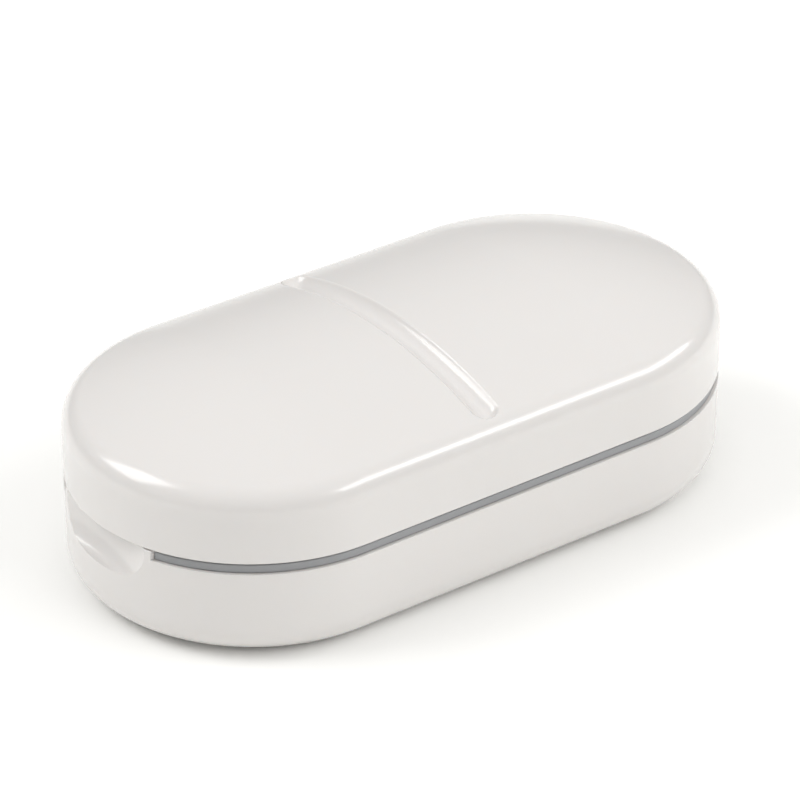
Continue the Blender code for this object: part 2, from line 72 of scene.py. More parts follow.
RADIUS = -base_low.y
END = -base_low.x - RADIUS
HINGE_X = (pin_low.x + pin_high.x) / 2
HINGE_Z = (pin_low.z + pin_high.z) / 2
KNUCKLE = base_high.x - HINGE_X
LID_EDGE = 13.25
LID_SHOULDER = 19.25
LID_FILLET = 3.35
LID_WALL = 2.0
CROWN_SLOPE = math.radians(19.0)
BASE_BOTTOM = base_low.z
BASE_RIM = 11.95
FRONT_RIM = 13.1
BASE_FILLET = 4.0
BASE_WALL = 1.8
BASE_FLOOR = 2.8
NOTCH_HALF, NOTCH_DEPTH, NOTCH_FLOOR = 8.2, 2.4, 8.1
FRONT_RIM_HALF = 8.9
GROOVE_X, GROOVE_HALF, GROOVE_DEEP, GROOVE_REACH = -1.6, 1.8, 1.05, 20.4
BASE_KNUCKLE = (2.55, 5.6)
LID_KNUCKLE_HALF = 2.35
KNUCKLE_ROOM = KNUCKLE + 0.25
PIN_BORE = 0.95
ARC_STEPS = 96
SCREW_TRAY = [(x, y) for x in (-29.0, 29.0) for y in (-13.0, 13.0)]
SCREW_LINER = [(x, y) for x in (-29.0, 31.0) for y in (-12.0, 12.0)]
CARRIER_SCREWS = ((carrier_low.x + blade_low.x) / 2, (carrier_high.x + blade_high.x) / 2)
GUARD_BODY = (-1.2, 27.7)
POST_X = (-3.9, 29.6)
SCREW_BORE, SCREW_HEAD_BORE, SMALL_HEAD_BORE = 1.0, 1.85, 1.45
BOSS_RADIUS = 2.2
SPOT_NAMES = ("front_right", "front_left", "rear_right", "rear_left")

helpers = bpy.data.collections.new("helpers")
shown = bpy.data.collections.new("looks")
bpy.context.scene.collection.children.link(helpers)
bpy.context.scene.collection.children.link(shown)


# ---------------------------------------------------------------- modelling helpers
def link(shape, name, home=helpers):
    """A mesh object in metres from a bmesh in millimetres."""
    bmesh.ops.scale(shape, vec=(MM, MM, MM), verts=shape.verts)
    mesh = bpy.data.meshes.new(name)
    shape.to_mesh(mesh)
    shape.free()
    obj = bpy.data.objects.new(name, mesh)
    home.objects.link(obj)
    return obj


def soften(shape, width, angle=50.0, steps=3):
    """Rounds the edges of a bmesh that are sharper than angle, in degrees."""
    if width:
        sharp = [e for e in shape.edges if len(e.link_faces) == 2 and e.calc_face_angle() > math.radians(angle)]
        bmesh.ops.bevel(
            shape, geom=sharp, offset=width, offset_type="OFFSET", segments=steps, profile=0.5,
            affect="EDGES", clamp_overlap=True,
        )


def box(name, x, y, z, width=0.0, turn=0.0, about=(0.0, 0.0)):
    """A box with rounded edges, turned about the vertical line through about."""
    shape = bmesh.new()
    middle = [(low + high) / 2 for low, high in (x, y, z)]
    size = [high - low for low, high in (x, y, z)]
    bmesh.ops.create_cube(shape, size=1.0, matrix=Matrix.Translation(middle) @ Matrix.Diagonal((*size, 1.0)))
    soften(shape, width)
    bmesh.ops.rotate(shape, cent=(*about, 0.0), matrix=Matrix.Rotation(turn, 3, "Z"), verts=shape.verts)
    return link(shape, name)


def cylinder(name, radius, start, end, width=0.0, sides=64):
    """A cylinder between two points, with its rims rounded."""
    start, end = Vector(start), Vector(end)
    shape = bmesh.new()
    bmesh.ops.create_cone(
        shape, cap_ends=True, segments=sides, radius1=radius, radius2=radius, depth=(end - start).length,
    )
    soften(shape, width)
    aim = (end - start).to_track_quat("Z", "Y").to_matrix().to_4x4()
    bmesh.ops.transform(shape, matrix=Matrix.Translation((start + end) / 2) @ aim, verts=shape.verts)
    return link(shape, name)


def turned(name, profile, centre, sides=48):
    """A solid of revolution about the vertical line through centre, from (radius, z) points."""
    shape = bmesh.new()
    rings = []
    for side in range(sides):
        turn = 2 * math.pi * side / sides
        rings.append([
            shape.verts.new((centre[0] + reach * math.cos(turn), centre[1] + reach * math.sin(turn), z))
            for reach, z in profile
        ])
    for ring, other in zip(rings, rings[1:] + rings[:1]):
        for index in range(len(profile) - 1):
            shape.faces.new((ring[index], ring[index + 1], other[index + 1], other[index]))
    bmesh.ops.remove_doubles(shape, verts=shape.verts, dist=MERGE)
    bmesh.ops.recalc_face_normals(shape, faces=shape.faces)
    return link(shape, name)


def plate(name, outline, z_low, z_high, width=0.0):
    """A flat outline given thickness, with its rims rounded."""
    shape = bmesh.new()
    face = shape.faces.new([shape.verts.new((x, y, z_low)) for x, y in outline])
    grown = bmesh.ops.extrude_face_region(shape, geom=[face])["geom"]
    for vert in grown:
        if isinstance(vert, bmesh.types.BMVert):
            vert.co.z = z_high
    bmesh.ops.recalc_face_normals(shape, faces=shape.faces)
    soften(shape, width)
    return link(shape, name)


def stadium(radius, x_low=-200.0, x_high=200.0, steps=ARC_STEPS):
    """Outline of a stadium about both end centres, cut off square at x_low and x_high."""
    points = []
    for side, begin in ((1, -math.pi / 2), (-1, math.pi / 2)):
        for step in range(steps + 1):
            turn = begin + math.pi * step / steps
            x = min(max(side * END + radius * math.cos(turn), x_low), x_high)
            y = radius * math.sin(turn)
            if not points or math.dist(points[-1], (x, y)) > 0.01:
                points.append((x, y))
    return points


def arc(centre, radius, start, end, steps):
    """Points along an arc, in degrees from the outward direction."""
    turns = [math.radians(start + (end - start) * step / steps) for step in range(steps + 1)]
    return [(centre[0] + radius * math.cos(t), centre[1] + radius * math.sin(t)) for t in turns]


def racetrack(name, profile, columns=(), shift=None):
    """A closed solid swept round the stadium from (distance from the end centres, z) points.

    columns are the places along the straight sides that get a section of their own.
    shift(index, x, y) lowers one point of the surface.
    """
    along = sorted({-END, END, *columns})
    path = [(x, 0.0, -1.0) for x in along]
    for step in range(1, ARC_STEPS):
        turn = -math.pi / 2 + math.pi * step / ARC_STEPS
        path.append((END, math.cos(turn), math.sin(turn)))
    path += [(x, 0.0, 1.0) for x in reversed(along)]
    for step in range(1, ARC_STEPS):
        turn = math.pi / 2 + math.pi * step / ARC_STEPS
        path.append((-END, math.cos(turn), math.sin(turn)))
    shape = bmesh.new()
    rings = []
    for middle, out_x, out_y in path:
        ring = []
        for index, (reach, z) in enumerate(profile):
            x, y = middle + reach * out_x, reach * out_y
            drop = shift(index, x, y) if shift else 0.0
            ring.append(shape.verts.new((x, y, z - drop)))
        rings.append(ring)
    for ring, other in zip(rings, rings[1:] + rings[:1]):
        for index in range(len(profile) - 1):
            shape.faces.new((ring[index], ring[index + 1], other[index + 1], other[index]))
    bmesh.ops.remove_doubles(shape, verts=shape.verts, dist=MERGE)
    bmesh.ops.recalc_face_normals(shape, faces=shape.faces)
    return link(shape, name)


def combine(obj, tools, operation):
    """Applies a Boolean with each tool in turn and throws the tools away."""
    for tool in tools:
        step = obj.modifiers.new("step", "BOOLEAN")
        step.operation, step.solver, step.object = operation, "MANIFOLD", tool
        bpy.context.view_layer.update()
        graph = bpy.context.evaluated_depsgraph_get()
        mesh = bpy.data.meshes.new_from_object(obj.evaluated_get(graph))
        obj.modifiers.clear()
        old, obj.data = obj.data, mesh
        bpy.data.meshes.remove(old)
        bpy.data.objects.remove(tool)


def cut(obj, *tools):
    combine(obj, tools, "DIFFERENCE")


def join(obj, *tools):
    combine(obj, tools, "UNION")


def across(name, radius, y_low, y_high, width=0.0):
    """A cylinder on the hinge axis."""
    return cylinder(name, radius, (HINGE_X, y_low, HINGE_Z), (HINGE_X, y_high, HINGE_Z), width, sides=72)


def ready(obj, name, body, nodes, finish, angle=32.0):
    """Names a finished piece, gives it its finish, and hands it to the frame."""
    obj.name = name
    for home in list(obj.users_collection):
        home.objects.unlink(obj)
    shown.objects.link(obj)
    mesh = obj.data
    mesh.materials.clear()
    mesh.materials.append(finish)
    for face in mesh.polygons:
        face.material_index = 0
    mesh.shade_smooth()
    mesh.set_sharp_from_angle(angle=math.radians(angle))
    weighted = obj.modifiers.new("even_shading", "WEIGHTED_NORMAL")
    weighted.keep_sharp = True
    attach(obj, body)
    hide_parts(*nodes)
    return obj


# ---------------------------------------------------------------- materials
def graph_of(name):
    made = bpy.data.materials.new(name)
    made.use_nodes = True
    nodes, links = made.node_tree.nodes, made.node_tree.links
    return made, nodes, links, nodes["Principled BSDF"]


def noise(nodes, links, scale, detail, source, distortion=0.0):
    """Noise at a scale in cycles per metre of the object."""
    made = nodes.new("ShaderNodeTexNoise")
    made.inputs["Scale"].default_value = scale
    made.inputs["Detail"].default_value = detail
    made.inputs["Distortion"].default_value = distortion
    links.new(source, made.inputs["Vector"])
    return made.outputs["Fac"]


def ramp(nodes, links, value, stops):
    """A colour ramp through (position, colour) stops."""
    made = nodes.new("ShaderNodeValToRGB")
    while len(made.color_ramp.elements) > 1:
        made.color_ramp.elements.remove(made.color_ramp.elements[0])
    made.color_ramp.elements[0].position = stops[0][0]
    made.color_ramp.elements[0].color = (*stops[0][1], 1.0)
    for place, colour in stops[1:]:
        made.color_ramp.elements.new(place).color = (*colour, 1.0)
    links.new(value, made.inputs["Fac"])
    return made.outputs["Color"]


def spread(nodes, links, value, low, high, start=0.3, stop=0.7):
    """Maps a noise value to a range of roughness or height."""
    made = nodes.new("ShaderNodeMapRange")
    made.inputs["From Min"].default_value = start
    made.inputs["From Max"].default_value = stop
    made.inputs["To Min"].default_value = low
    made.inputs["To Max"].default_value = high
    links.new(value, made.inputs["Value"])
    return made.outputs["Result"]


def bump(nodes, links, height, distance, strength, below=None):
    made = nodes.new("ShaderNodeBump")
    made.inputs["Distance"].default_value = distance
    made.inputs["Strength"].default_value = strength
    links.new(height, made.inputs["Height"])
    if below is not None:
        links.new(below, made.inputs["Normal"])
    return made.outputs["Normal"]


def place_of(nodes, links, stretch=(1.0, 1.0, 1.0)):
    """Object coordinates, stretched along the axes."""
    coordinates = nodes.new("ShaderNodeTexCoord")
    mapping = nodes.new("ShaderNodeMapping")
    mapping.inputs["Scale"].default_value = stretch
    links.new(coordinates.outputs["Object"], mapping.inputs["Vector"])
    return mapping.outputs["Vector"]


def moulded(name, dark, pale, rough, ripple=0.25, edge=0.0, grain=2600.0, grain_depth=0.000006, coat=0.0):
    """Moulded plastic: faint colour drift, skin ripple, fine grain, varied gloss and paler worn edges."""
    made, nodes, links, shader = graph_of(name)
    here = place_of(nodes, links)
    drift = noise(nodes, links, 30.0, 1.0, here, 0.2)
    colour = ramp(nodes, links, drift, ((0.2, dark), (0.8, pale)))
    links.new(colour, shader.inputs["Base Color"])
    marks = noise(nodes, links, 160.0, 2.0, place_of(nodes, links, (0.35, 1.0, 1.0)), 0.3)
    links.new(spread(nodes, links, marks, rough[0], rough[1], 0.15, 0.85), shader.inputs["Roughness"])
    skin = bump(nodes, links, noise(nodes, links, 75.0, 2.0, here, 0.2), 0.00012, ripple)
    fine = bump(nodes, links, noise(nodes, links, grain, 3.0, here), grain_depth, 0.6, skin)
    if edge:
        rounded = nodes.new("ShaderNodeBevel")
        rounded.samples = 6
        rounded.inputs["Radius"].default_value = edge
        links.new(rounded.outputs["Normal"], skin.node.inputs["Normal"])
        geometry = nodes.new("ShaderNodeNewGeometry")
        agree = nodes.new("ShaderNodeVectorMath")
        agree.operation = "DOT_PRODUCT"
        links.new(rounded.outputs["Normal"], agree.inputs[0])
        links.new(geometry.outputs["Normal"], agree.inputs[1])
        worn = spread(nodes, links, agree.outputs["Value"], 1.0, 0.0, 0.80, 0.985)
        mix = nodes.new("ShaderNodeMix")
        mix.data_type = "RGBA"
        links.new(worn, mix.inputs["Factor"])
        links.new(colour, mix.inputs["A"])
        mix.inputs["B"].default_value = (*[min(c * 1.06, 0.96) for c in pale], 1.0)
        links.new(mix.outputs["Result"], shader.inputs["Base Color"])
    links.new(fine, shader.inputs["Normal"])
    shader.inputs["IOR"].default_value = 1.5
    shader.inputs["Coat Weight"].default_value = coat
    shader.inputs["Coat Roughness"].default_value = 0.12
    return made, shader


def white_plastic():
    made, shader = moulded(
        "white_abs", (0.690, 0.670, 0.654), (0.702, 0.682, 0.666), (0.20, 0.262), ripple=0.04, edge=0.00018, coat=0.5
    )
    shader.inputs["Subsurface Weight"].default_value = 0.12
    shader.inputs["Subsurface Radius"].default_value = (0.0012, 0.0009, 0.0007)
    shader.inputs["Subsurface Scale"].default_value = 1.0
    return made


def inner_white():
    return moulded("white_satin", (0.74, 0.73, 0.71), (0.79, 0.78, 0.76), (0.36, 0.48), ripple=0.1, edge=0.0001)[0]


def grey_plastic():
    return moulded("grey_satin", (0.27, 0.275, 0.284), (0.31, 0.315, 0.325), (0.42, 0.56), ripple=0.1, edge=0.00012)[0]


def frosted_plastic():
    made, shader = moulded(
        "frosted", (0.70, 0.76, 0.78), (0.78, 0.83, 0.84), (0.34, 0.46), ripple=0.15, edge=0.00012,
    )
    shader.inputs["Subsurface Weight"].default_value = 0.55
    shader.inputs["Subsurface Radius"].default_value = (0.003, 0.0034, 0.0036)
    shader.inputs["Subsurface Scale"].default_value = 1.0
    return made


def silicone():
    made, shader = moulded(
        "soft_silicone", (0.30, 0.31, 0.33), (0.36, 0.37, 0.39), (0.62, 0.78), ripple=0.3, grain=5200.0,
        grain_depth=0.000015,
    )
    shader.inputs["Sheen Weight"].default_value = 0.25
    shader.inputs["Sheen Roughness"].default_value = 0.4
    return made


def steel(name, stretch, rough, tone=0.62):
    """Steel with fine grinding lines across the stretched direction, stains and small pits."""
    made, nodes, links, shader = graph_of(name)
    shader.inputs["Metallic"].default_value = 1.0
    lines = noise(nodes, links, 1500.0, 4.0, place_of(nodes, links, stretch))
    stains = noise(nodes, links, 180.0, 4.0, place_of(nodes, links), 0.8)
    colour = ramp(
        nodes, links, stains, ((0.3, (tone * 0.9, tone * 0.9, tone * 0.91)), (0.7, (tone, tone * 1.01, tone * 1.03)))
    )
    links.new(colour, shader.inputs["Base Color"])
    links.new(spread(nodes, links, lines, rough[0], rough[1]), shader.inputs["Roughness"])
    ground = bump(nodes, links, lines, 0.000004, 0.5)
    pits = spread(nodes, links, noise(nodes, links, 2400.0, 2.0, place_of(nodes, links)), 0.0, 1.0, 0.68, 0.75)
    links.new(bump(nodes, links, pits, 0.00001, 0.4, ground), shader.inputs["Normal"])
    return made


WHITE = white_plastic()
SATIN = inner_white()
GREY = grey_plastic()
FROSTED = frosted_plastic()
SILICONE = silicone()
BLADE_STEEL = steel("blade_steel", (1.0, 1.0, 0.04), (0.15, 0.26), 0.66)
SCREW_STEEL = steel("screw_steel", (1.0, 1.0, 0.2), (0.29, 0.42), 0.58)
WIRE_STEEL = steel("wire_steel", (0.1, 0.1, 1.0), (0.29, 0.38), 0.60)


# ---------------------------------------------------------------- lid shell
CROWN_DEGREES = math.degrees(CROWN_SLOPE)
CROWN_REACH = RADIUS - LID_FILLET + LID_FILLET * math.sin(CROWN_SLOPE)
CROWN_RADIUS = CROWN_REACH / math.sin(CROWN_SLOPE)
CROWN_CENTRE_Z = LID_SHOULDER + (LID_FILLET - CROWN_RADIUS) * math.cos(CROWN_SLOPE)
CROWN_POINTS = 64


def crown(inset, steps):
    """The crown and shoulder fillet of the lid, moved inwards by inset, from the axis to the side."""
    top = arc((0.0, CROWN_CENTRE_Z), CROWN_RADIUS - inset, 90.0, 90.0 - CROWN_DEGREES, steps)
    top[0] = (0.0, top[0][1])
    shoulder = arc((RADIUS - LID_FILLET, LID_SHOULDER), LID_FILLET - inset, 90.0 - CROWN_DEGREES, 0.0, 16)
    return top + shoulder[1:]


def groove_depth(index, x, y):
    """Depth of the score groove: eased lips, steep flanks, a fine crease along the bed, round ends."""
    if index > CROWN_POINTS + 7:
        return 0.0
    past = max(abs(y) - (GROOVE_REACH - GROOVE_HALF), 0.0)
    out = math.hypot(x - GROOVE_X, past) / GROOVE_HALF
    lip = 0.07
    if out >= 1.0 + lip:
        return 0.0
    if out > 1.0 - lip:
        return GROOVE_DEEP * 0.17 * ((1.0 + lip - out) / (2 * lip)) ** 2
    inner = out / (1.0 - lip)
    return GROOVE_DEEP * (1.0 - 0.16 * inner - 0.67 * inner**3)


def make_lid_shell():
    lip = 0.3
    wall = RADIUS - LID_WALL
    profile = crown(0.0, CROWN_POINTS)
    profile += arc((RADIUS - lip, LID_EDGE + lip), lip, 0.0, -90.0, 5)
    profile += arc((wall + lip, LID_EDGE + lip), lip, -90.0, -180.0, 4)
    profile += list(reversed(crown(LID_WALL, 10)))
    columns = [GROOVE_X + step * 0.065 for step in range(-36, 37)]
    columns += [x for x in range(-19, 20, 2) if abs(x - GROOVE_X) > 2.8]
    lid = racetrack("lid_shell_looks", profile, columns, groove_depth)
    into_crown = 22.2
    mount = box("mount", (carrier_low.x + 0.5, carrier_high.x - 0.5), (-1.7, 1.7), (carrier_high.z + 0.2, 23.9), 0.2)
    bosses = [cylinder("boss", BOSS_RADIUS, (x, y, 15.0), (x, y, into_crown), 0.15, 40) for x, y in SCREW_LINER]
    join(lid, mount, *bosses)
    cut(lid, *[cylinder("hole", SCREW_BORE, (x, y, 13.4), (x, y, 20.2), 0, 24) for x, y in SCREW_LINER])
    near, far = BASE_KNUCKLE
    cut(
        lid,
        across("room", KNUCKLE_ROOM, -far - 0.2, -LID_KNUCKLE_HALF),
        across("room", KNUCKLE_ROOM, LID_KNUCKLE_HALF, far + 0.2),
    )
    join(lid, across("knuckle", KNUCKLE, -LID_KNUCKLE_HALF, LID_KNUCKLE_HALF, 0.15))
    cut(lid, across("bore", PIN_BORE, -near - 1, near + 1))
    ready(lid, "lid_shell_looks", "lid", ["lid_shell"], WHITE)


# ---------------------------------------------------------------- base shell
def make_base_shell():
    lip = 0.22
    corner = arc((RADIUS - BASE_FILLET, BASE_BOTTOM + BASE_FILLET), BASE_FILLET, 0.0, -90.0, 18)
    profile = [(0.0, FRONT_RIM), (RADIUS - lip, FRONT_RIM)]
    profile += arc((RADIUS - lip, FRONT_RIM - lip), lip, 70.0, 0.0, 3)
    profile += corner + [(0.0, BASE_BOTTOM)]
    shell = racetrack("base_shell_looks", profile)
    over = 6.0
    reach = RADIUS + over
    rim_front = -END - FRONT_RIM_HALF
    low_rim = [(-END - reach, -reach), (END + reach, -reach), (END + reach, reach), (-END - reach, reach)]
    low_rim += [(-END - reach, FRONT_RIM_HALF), (rim_front, FRONT_RIM_HALF)]
    low_rim += [(rim_front, -FRONT_RIM_HALF), (-END - reach, -FRONT_RIM_HALF)]
    trench = plate("low_rim", low_rim, BASE_RIM, FRONT_RIM + over)
    cavity = plate("cavity", stadium(RADIUS - BASE_WALL, -38.0), BASE_FLOOR, FRONT_RIM + over, 0.6)
    cut(shell, cavity, trench)
    notch_edge = END + math.sqrt(RADIUS**2 - NOTCH_HALF**2)
    rise = notch_edge - (-base_low.x - NOTCH_DEPTH)
    notch_radius = (NOTCH_HALF**2 + rise**2) / (2 * rise)
    notch_x = base_low.x + NOTCH_DEPTH - notch_radius
    bed_in, bed_up = 2.6, FRONT_RIM - NOTCH_FLOOR
    bed = []
    for step in range(25):
        turn = math.pi / 2 * step / 24
        bed.append((notch_radius - bed_in * (1 - math.sin(turn)), NOTCH_FLOOR + bed_up * (1 - math.cos(turn))))
    scoop = [(0.0, NOTCH_FLOOR)] + bed + [(notch_radius, FRONT_RIM + over), (0.0, FRONT_RIM + over)]
    cut(shell, turned("thumb_notch", scoop, (notch_x, 0.0), 200))
    cut(shell, plate("pad_recess", stadium(RADIUS - 4.75), -1.0, 1.05))
    cut(shell, *[cylinder("head", SCREW_HEAD_BORE, (x, y, 0.5), (x, y, 2.0), 0, 36) for x, y in SCREW_TRAY])
    cut(shell, *[cylinder("hole", SCREW_BORE, (x, y, 0.5), (x, y, 4.0), 0, 24) for x, y in SCREW_TRAY])
    near, far = BASE_KNUCKLE
    cut(shell, across("room", KNUCKLE_ROOM, -near + 0.1, near - 0.1))
    join(shell, across("knuckle", KNUCKLE, -far, -near, 0.15), across("knuckle", KNUCKLE, near, far, 0.15))
    cut(shell, across("bore", PIN_BORE, -far - 1, far + 1))
    ready(shell, "base_shell_looks", "base", ["base_shell"], WHITE)


# ---------------------------------------------------------------- tray
def make_inner_tray():
    outer = RADIUS - BASE_WALL - 0.2
    front = -38.0 + 0.2
    well = outer - 1.4
    bottom, top = tray_low.z, tray_high.z
    tray = plate("inner_tray_looks", stadium(outer, front), bottom, top, 0.25)
    flange = plate("flange", stadium(RADIUS - 0.35), 12.0, top, 0.12)
    gap = FRONT_RIM_HALF + 0.2
    cut(flange, box("gap", (-90.0, front), (-gap, gap), (0.0, 20.0)))
    join(tray, flange)
    floor_z, over = 4.4, 5.0
    storage = plate("storage", stadium(well, -36.2, -4.6), floor_z, top + over, 1.0)
    bay = plate("bay", stadium(well, -3.0, 37.0), floor_z, top + over, 1.0)
    cut(tray, storage, bay)
    join(tray, *[cylinder("boss", BOSS_RADIUS, (x, y, bottom + 0.3), (x, y, 8.0), 0.3, 40) for x, y in SCREW_TRAY])
    cut(tray, *[cylinder("hole", SCREW_BORE, (x, y, 1.0), (x, y, 7.6), 0, 24) for x, y in SCREW_TRAY])
    join(tray, box("ledge", (-36.7, -35.75), (-5.5, 5.5), (11.3, 11.85), 0.12))
    cut(tray, *[cylinder("peg", 1.4, (3.5, y, 1.0), (3.5, y, 6.0), 0, 32) for y in (-9.0, 9.0)])
    far = BASE_KNUCKLE[1] + 0.25
    cut(tray, across("room", KNUCKLE_ROOM, -far, far))
    ready(tray, "inner_tray_looks", "base", ["inner_tray"], GREY)


# ---------------------------------------------------------------- cradle and grips
SEAT_Z, SEAT_APEX, SEAT_APEX_HALF, SEAT_ANGLE = 6.8, 5.6, 0.9, math.radians(30.0)


def seat_half_width(x):
    return SEAT_APEX_HALF + (x - SEAT_APEX) * math.tan(SEAT_ANGLE)


def make_pill_cradle():
    half, top, back = cradle_high.y, cradle_high.z, cradle_high.x
    body = box("cradle", (cradle_low.x, back), (-half, half), (4.5, top), 0.5)
    behind = back + 2.0
    apex = [
        (SEAT_APEX + 0.55 - 0.75 * math.cos(math.radians(t)), -0.95 * math.sin(math.radians(t)))
        for t in range(70, -71, -14)
    ]
    seat = [(behind, -seat_half_width(behind)), (behind, seat_half_width(behind))]
    seat += [(x, -y) for x, y in apex]
    seat_tool = plate("seat", seat, SEAT_Z, top + 2, 0.35)
    slot_tool = box("slot", (1.8, 24.6), (-0.55, 0.55), (5.6, top + 2), 0.12)
    cut(body, seat_tool, slot_tool)
    for side in (-1, 1):
        for step in range(3):
            x = 4.0 + step * 2.2
            rib = box("rib", (x, x + 0.9), sorted((side * 6.0, side * 11.6)), (top - 0.5, top + 2), 0.2)
            cut(body, rib)
    join(body, *[cylinder("peg", 1.2, (3.5, y, cradle_low.z), (3.5, y, 5.0), 0.2, 32) for y in (-9.0, 9.0)])
    for side, name in ((-1, "right"), (1, "left")):
        cut(body, grip_body(side, 0.1, False))
        strip = grip_body(side, 0.0, True)
        ready(strip, f"grip_strip_{name}_looks", "base", [f"grip_strip_{name}"], SILICONE)
    ready(body, "pill_cradle_looks", "base", ["pill_cradle"], FROSTED)


def grip_body(side, grow, ribbed):
    """A grip strip in its place on the V's wall, with upright ribs on the face the tablet meets."""
    x = SEAT_APEX + (cradle_high.x - SEAT_APEX) * 0.52
    y = side * seat_half_width(x)
    half, thick = 6.0 + grow, 0.4 + grow
    z = (7.3 - grow, 10.3 + grow)
    strip = box("grip", (x - half, x + half), (y - thick, y + thick), z, 0.14 if ribbed else 0.0)
    if ribbed:
        face = y - side * thick
        grooves = []
        for step in range(11):
            at = x - 5.0 + step
            bar = cylinder("rib", 0.22, (at, face, 6.0), (at, face, 12.0), 0, 20)
            grooves.append(bar)
        cut(strip, *grooves)
    turn = Matrix.Rotation(side * SEAT_ANGLE, 4, "Z")
    centre = Matrix.Translation((x * MM, y * MM, 0.0))
    strip.data.transform(centre @ turn @ centre.inverted())
    return strip


# ---------------------------------------------------------------- what is in the lid
def make_lid_liner():
    bottom, top = 13.4, 14.8
    liner = plate("liner", stadium(liner_high.y), bottom, top, 0.2)
    slack = 0.25
    window = box(
        "window", (GUARD_BODY[0] - slack, GUARD_BODY[1] + slack), (guard_low.y - slack, guard_high.y + slack),
        (bottom - 1, top + 1), 0.0,
    )
    cut(liner, window)
    join(liner, *[cylinder("post", 1.2, (x, 0, bottom + 0.4), (x, 0, 22.7), 0.25, 40) for x in POST_X])
    tongue = (-35.25, -34.1)
    join(liner, box("tongue", tongue, (-5.0, 5.0), (liner_low.z, bottom + 0.4), 0.25))
    join(liner, cylinder("bead", 0.4, (tongue[0], -4.8, 10.8), (tongue[0], 4.8, 10.8), 0.1, 28))
    cut(liner, *[cylinder("head", SCREW_HEAD_BORE, (x, y, bottom - 1), (x, y, 14.2), 0, 40) for x, y in SCREW_LINER])
    cut(liner, *[cylinder("hole", SCREW_BORE, (x, y, bottom - 1), (x, y, top + 1), 0, 24) for x, y in SCREW_LINER])
    line_inset, line_width, line_depth = 2.4, 0.5, 0.18
    ring = plate("ring", stadium(liner_high.y - line_inset), bottom - 1, bottom + line_depth)
    cut(ring, plate("core", stadium(liner_high.y - line_inset - line_width), bottom - 2, bottom + 2))
    cut(ring, box("clear", (tongue[0] - 6, tongue[1] + 0.6), (-5.6, 5.6), (bottom - 3, bottom + 3)))
    cut(liner, ring)
    ready(liner, "lid_liner_looks", "lid", ["lid_liner"], GREY)


def make_blade():
    """Blade with a two-step ground edge, two fixing holes and slightly eased corners."""
    half = blade_high.y
    low, high = blade_low.z, blade_high.z
    section = [(0.03, low), (half * 0.62, low + 0.75), (half, low + 1.9), (half, high)]
    shape = bmesh.new()
    rings = []
    ends = (blade_low.x, blade_low.x + 0.05, blade_high.x - 0.05, blade_high.x)
    for x, eased in zip(ends, (0.8, 1.0, 1.0, 0.8)):
        loop = [(y * eased, z) for y, z in section] + [(-y * eased, z) for y, z in reversed(section)]
        rings.append([shape.verts.new((x, y, z)) for y, z in loop])
    for ring, other in zip(rings, rings[1:]):
        for index in range(len(ring)):
            after = (index + 1) % len(ring)
            shape.faces.new((ring[index], ring[after], other[after], other[index]))
    shape.faces.new(rings[0])
    shape.faces.new(list(reversed(rings[-1])))
    bmesh.ops.recalc_face_normals(shape, faces=shape.faces)
    blade = link(shape, "blade_looks")
    middle = (blade_low.x + blade_high.x) / 2
    for x in (middle - 5.0, middle + 5.0):
        cut(blade, cylinder("rivet", 0.8, (x, -2, high - 2.2), (x, 2, high - 2.2), 0, 40))
    ready(blade, "blade_looks", "lid", ["blade"], BLADE_STEEL, 12.0)


def make_blade_carrier():
    carrier = box(
        "carrier", (carrier_low.x, carrier_high.x), (carrier_low.y, carrier_high.y),
        (carrier_low.z, carrier_high.z), 0.3,
    )
    slack = 0.15
    slot_half = blade_high.y + slack
    slot_x = (blade_low.x - slack, blade_high.x + slack)
    cut(carrier, box("slot", slot_x, (-slot_half, slot_half), (10.0, blade_high.z + slack)))
    for x in CARRIER_SCREWS:
        low = carrier_low.z
        cut(carrier, cylinder("head", SMALL_HEAD_BORE, (x, 0, low - 1), (x, 0, low + 1.0), 0, 40))
        cut(carrier, cylinder("hole", SCREW_BORE, (x, 0, low - 1), (x, 0, carrier_high.z + 1), 0, 24))
    ready(carrier, "blade_carrier_looks", "lid", ["blade_carrier"], SATIN)


def make_blade_guard():
    half, bottom, top = guard_high.y, guard_low.z, guard_high.z
    wall = 1.15
    ear_low = top - 0.9
    guard = box("guard", GUARD_BODY, (-half, half), (bottom, top), 0.35)
    join(guard, box("ears", (POST_X[0] - 2.4, POST_X[1] + 2.4), (-2.4, 2.4), (ear_low, top), 0.25))
    inner = half - wall
    room = (GUARD_BODY[0] + wall, GUARD_BODY[1] - wall)
    cut(guard, box("room", room, (-inner, inner), (bottom - 1, top + 1), 0.15))
    cut(guard, *[cylinder("ear", 1.4, (x, 0, ear_low - 1), (x, 0, top + 1), 0, 40) for x in POST_X])
    ready(guard, "blade_guard_looks", "guard", ["blade_guard"], SATIN)


